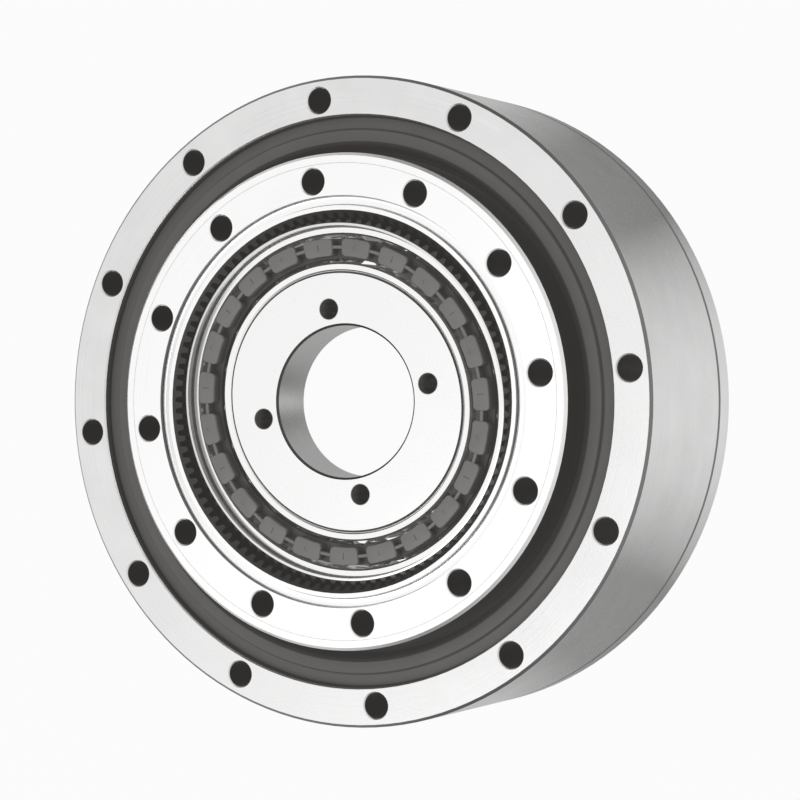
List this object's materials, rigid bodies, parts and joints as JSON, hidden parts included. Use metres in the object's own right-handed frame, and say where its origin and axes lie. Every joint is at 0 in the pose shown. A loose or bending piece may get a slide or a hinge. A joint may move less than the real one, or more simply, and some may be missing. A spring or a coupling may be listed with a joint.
{
  "type": "strain wave gear",
  "caption": "Flat round strain wave gear unit: elliptical generator with a through bore, toothed flexible cup and a face-mounted output ring in a crossed-roller bearing.",
  "frame": {"origin": "centre of the rear face of the flexspline flange, on the common axis", "axes": "+Z along the common axis, out of the output face; +X through one of the housing bolt holes"},
  "size_m": [0.09, 0.09, 0.033],
  "materials": {
    "ring_steel": "ground and fine turned bearing steel",
    "output_steel": "fine turned, satin",
    "flex_steel": "thin alloy steel, turned, satin",
    "plug_steel": "ground face, satin",
    "race_steel": "ground and polished bearing steel",
    "rolling_steel": "polished bearing steel",
    "seal_rubber": "moulded nitrile rubber, matt black",
    "cage_nylon": "moulded dark grey nylon",
    "screw_steel": "black oxide steel"
  },
  "bodies": {
    "housing": {"outer_ring": "ring_steel", "roller_plug": "ring_steel", "roller_plug_pin": "ring_steel", "flexspline": "flex_steel", "flange_screws": "screw_steel", "flange_o_ring": "seal_rubber", "oil_seal": "seal_rubber", "seal_case": "ring_steel", "seal_spring": "rolling_steel"},
    "wave_generator": {"generator_plug": "plug_steel", "bearing_inner_race": "race_steel", "bearing_balls": "rolling_steel", "ball_cage": "cage_nylon", "bearing_outer_race": "race_steel"},
    "output": {"inner_ring": "output_steel", "circular_spline": "output_steel", "spline_screws": "screw_steel", "spline_o_ring": "seal_rubber"},
    "roller_row": {"crossed_rollers": "rolling_steel", "roller_spacers": "cage_nylon"}
  },
  "joints": [
    {"name": "generator_spin", "type": "hinge", "parent": "housing", "child": "wave_generator", "pos_m": [0, 0, 0.02725], "axis": [0, 0, 1], "continuous": true, "deforming": ["flexspline"]},
    {"name": "output_spin", "type": "hinge", "parent": "housing", "child": "output", "pos_m": [0, 0, 0.0115], "axis": [0, 0, 1], "continuous": true},
    {"name": "roller_spin", "type": "hinge", "parent": "housing", "child": "roller_row", "pos_m": [0, 0, 0.0115], "axis": [0, 0, 1], "continuous": true}
  ],
  "couplings": [
    {"joint": "output_spin", "follows": "generator_spin", "ratio": 0.019608},
    {"joint": "roller_spin", "follows": "generator_spin", "ratio": 0.0093087}
  ]
}
